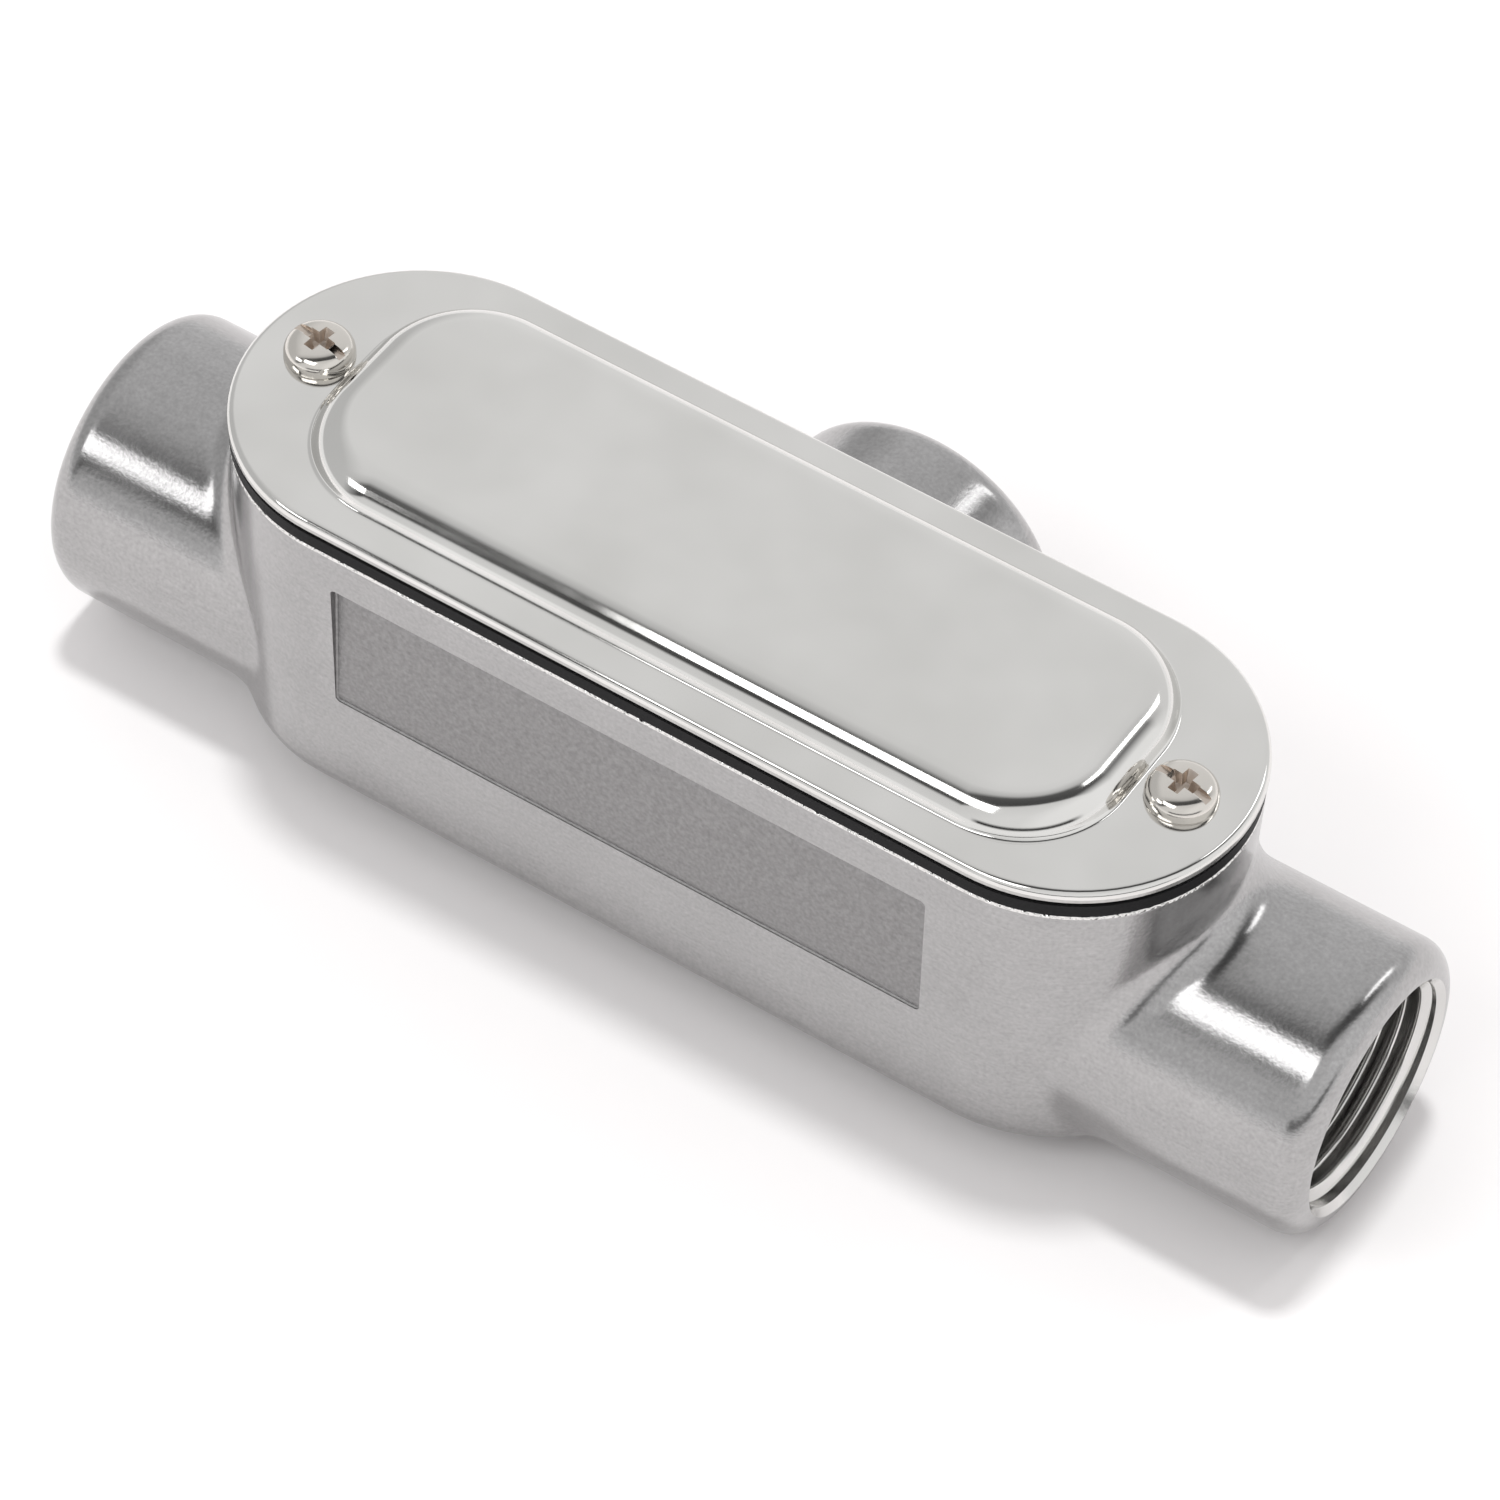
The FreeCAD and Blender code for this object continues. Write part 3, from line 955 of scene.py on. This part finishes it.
# %% [markdown]
# A long lens from well back keeps the casting's edges nearly parallel. The camera's
# place is in metres, and its turn is given as the directions that it calls right, down
# and forward, which are the columns of its matrix.

# %% Camera
lens = bpy.data.cameras.new("portrait")
lens.lens = 163.0
lens.sensor_width = 36.0
lens.clip_start = 0.01
portrait = bpy.data.objects.new("portrait", lens)
bpy.context.collection.objects.link(portrait)
right = Vector((0.8326, 0.5532, 0.0275))
down = Vector((0.4361, -0.6241, -0.6483))
forward = Vector((-0.3415, 0.5518, -0.7609))
stand = Matrix((right, -down, -forward)).transposed().to_4x4()
stand.translation = Vector((0.2521, -0.4135, 0.5770))
portrait.matrix_world = stand
bpy.context.scene.camera = portrait
print("camera at", tuple(round(v, 3) for v in stand.translation))

# %% [markdown]
# ### The tent
# Polished steel has no look of its own: it shows its room. Metal is therefore shot in a
# pale tent with dark gaps, which draw the black lines along its edges. The world is
# that tent. Its arch runs from the back over the top to the front, and is followed by
# the angle about the run. A dark gap lies overhead, slanted a little, and the sides are
# plain. Black cards at every edge could give the same lines, but would be in the way of
# other views.

# %% Arch and sides of the tent
bpy.context.scene.view_settings.view_transform = "Standard"
world = bpy.data.worlds.new("white_studio")
bpy.context.scene.world = world
world.use_nodes = True
sky = world.node_tree
sky.nodes.clear()
direction = node(sky, "ShaderNodeTexCoord").outputs["Generated"]
axes = node(sky, "ShaderNodeSeparateXYZ", Vector=direction).outputs
about_run = node(sky, "ShaderNodeMath", {"operation": "ARCTAN2"}, (axes["Z"], axes["Y"]))
over = node(sky, "ShaderNodeMath", {"operation": "MULTIPLY"}, (about_run.outputs["Value"], 1 / math.pi))
along = node(sky, "ShaderNodeMath", {"operation": "ADD"}, (axes["X"], 0.16))
slanted = node(sky, "ShaderNodeMath", {"operation": "MULTIPLY_ADD"},
               (along.outputs["Value"], 0.45, over.outputs["Value"]))
arch = node(sky, "ShaderNodeValToRGB", Fac=slanted.outputs["Value"])
arch_levels = [(0.0, 0.85), (0.40, 0.77), (0.515, 0.57), (0.575, 0.10), (0.74, 0.06), (0.77, 0.75),
               (1.0, 0.85)]   # places from the back, over the top, to the front, and their levels
stops = arch.color_ramp.elements
for place, level in arch_levels:
    stop = stops.new(place) if place not in (0.0, 1.0) else stops[0 if place == 0.0 else -1]
    stop.position = place
    stop.color = (level, level, level, 1)
how_far = node(sky, "ShaderNodeMath", {"operation": "ABSOLUTE"}, (axes["X"],)).outputs["Value"]
sides = node(sky, "ShaderNodeMapRange", Value=how_far, From_Min=0.5, From_Max=0.72)
side_level = node(sky, "ShaderNodeMapRange", Value=axes["X"], From_Min=-0.01, From_Max=0.01,
                  To_Min=0.6, To_Max=0.95)
tent = node(sky, "ShaderNodeMix", {"data_type": "RGBA"}, Factor=sides.outputs["Result"],
            A=arch.outputs["Color"], B=side_level.outputs["Result"]).outputs[2]
print("tent's arch:", [(round(e.position, 3), round(e.color[0], 2)) for e in stops])

# %% [markdown]
# The second gap stands low at the front right and darkens the cover's near sides. Right
# at the horizon the tent is white all round, so that low views have a white background
# and steel shows that same background.

# %% Low gap and white horizon
to_right = node(sky, "ShaderNodeMapRange", Value=axes["X"], From_Min=-0.12, From_Max=0.0)
to_front = node(sky, "ShaderNodeMapRange", Value=axes["Y"], From_Min=0.0, From_Max=-0.2)
to_low = node(sky, "ShaderNodeMapRange", Value=axes["Z"], From_Min=0.26, From_Max=0.17)
front_right = node(sky, "ShaderNodeMath", {"operation": "MULTIPLY"},
                   (to_right.outputs["Result"], to_front.outputs["Result"]))
low_gap = node(sky, "ShaderNodeMath", {"operation": "MULTIPLY"},
               (front_right.outputs["Value"], to_low.outputs["Result"]))
tent = node(sky, "ShaderNodeMix", {"data_type": "RGBA"}, Factor=low_gap.outputs["Value"],
            A=tent, B=(0.03, 0.03, 0.03, 1)).outputs[2]
height = node(sky, "ShaderNodeMath", {"operation": "ABSOLUTE"}, (axes["Z"],)).outputs["Value"]
near_horizon = node(sky, "ShaderNodeMapRange", Value=height, From_Min=0.11, From_Max=0.06)
tent = node(sky, "ShaderNodeMix", {"data_type": "RGBA"}, Factor=near_horizon.outputs["Result"],
            A=tent, B=(1, 1, 1, 1)).outputs[2]
print("nodes in the tent:", len(sky.nodes))

# %% [markdown]
# The camera, glossy and transmission rays all see the tent. Matt surfaces get its soft
# mean light in place of it, because they average the room anyway, and an even level
# leaves their colours as they are written.

# %% Tent and soft light
path = node(sky, "ShaderNodeLightPath").outputs
soft_light = node(sky, "ShaderNodeBackground", Color=(1.0, 0.975, 0.975, 1), Strength=0.65)
tent_walls = node(sky, "ShaderNodeBackground", Color=tent, Strength=1.0)
mirrored = node(sky, "ShaderNodeMath", {"operation": "MAXIMUM"},
                (path["Is Glossy Ray"], path["Is Transmission Ray"]))
seen = node(sky, "ShaderNodeMath", {"operation": "MAXIMUM"},
            (path["Is Camera Ray"], mirrored.outputs["Value"]))
shown = node(sky, "ShaderNodeMixShader", None,
             (seen.outputs["Value"], soft_light.outputs[0], tent_walls.outputs[0]))
node(sky, "ShaderNodeOutputWorld", Surface=shown.outputs[0])
print("soft light of strength", round(soft_light.inputs["Strength"].default_value, 2))

# %% [markdown]
# ### Lamps
# A high sun with a wide disc casts the one soft shadow and lights the whole floor
# evenly, which a near lamp could not. Three boxes give the hubs their long highlights,
# and the cover its light edge at the back.

# %% Sun and softboxes
def softbox(name, place, aim, size, radiance):
    """A rectangular area lamp of a given brightness, places and sizes in metres."""
    lamp = bpy.data.lights.new(name, "AREA")
    lamp.shape = "RECTANGLE"
    lamp.size, lamp.size_y = size
    lamp.energy = radiance * math.pi * size[0] * size[1]
    made = bpy.data.objects.new(name, lamp)
    bpy.context.collection.objects.link(made)
    away = (Vector(place) - Vector(aim)).normalized()
    across = away.cross(Vector((1, 0, 0))).normalized()
    axes = Matrix((across.cross(away), across, away)).transposed().to_4x4()
    made.matrix_world = Matrix.Translation(place) @ axes
    made.visible_camera = False
    return made


sun = bpy.data.lights.new("overhead_sun", "SUN")
sun.energy = 1.15
sun.angle = math.radians(7)
overhead = bpy.data.objects.new("overhead_sun", sun)
bpy.context.collection.objects.link(overhead)
overhead.rotation_euler = Vector((-0.09, 0.15, 1.35)).to_track_quat("Z", "Y").to_euler()
overhead.visible_glossy = False
softbox("front_strip", (-0.08, -0.455, 0.59), (0.02, -0.01, 0.03), (0.37, 0.23), 2.8)
softbox("left_strip", (-0.605, -0.70, 0.60), (-0.07, -0.01, 0.03), (0.30, 0.24), 3.2)
softbox("back_strip", (0.32, 0.50, 0.60), (0.0, 0.02, 0.03), (0.10, 0.5), 2.4)
print("lamps:", sorted(lamp.name for lamp in bpy.data.lights))
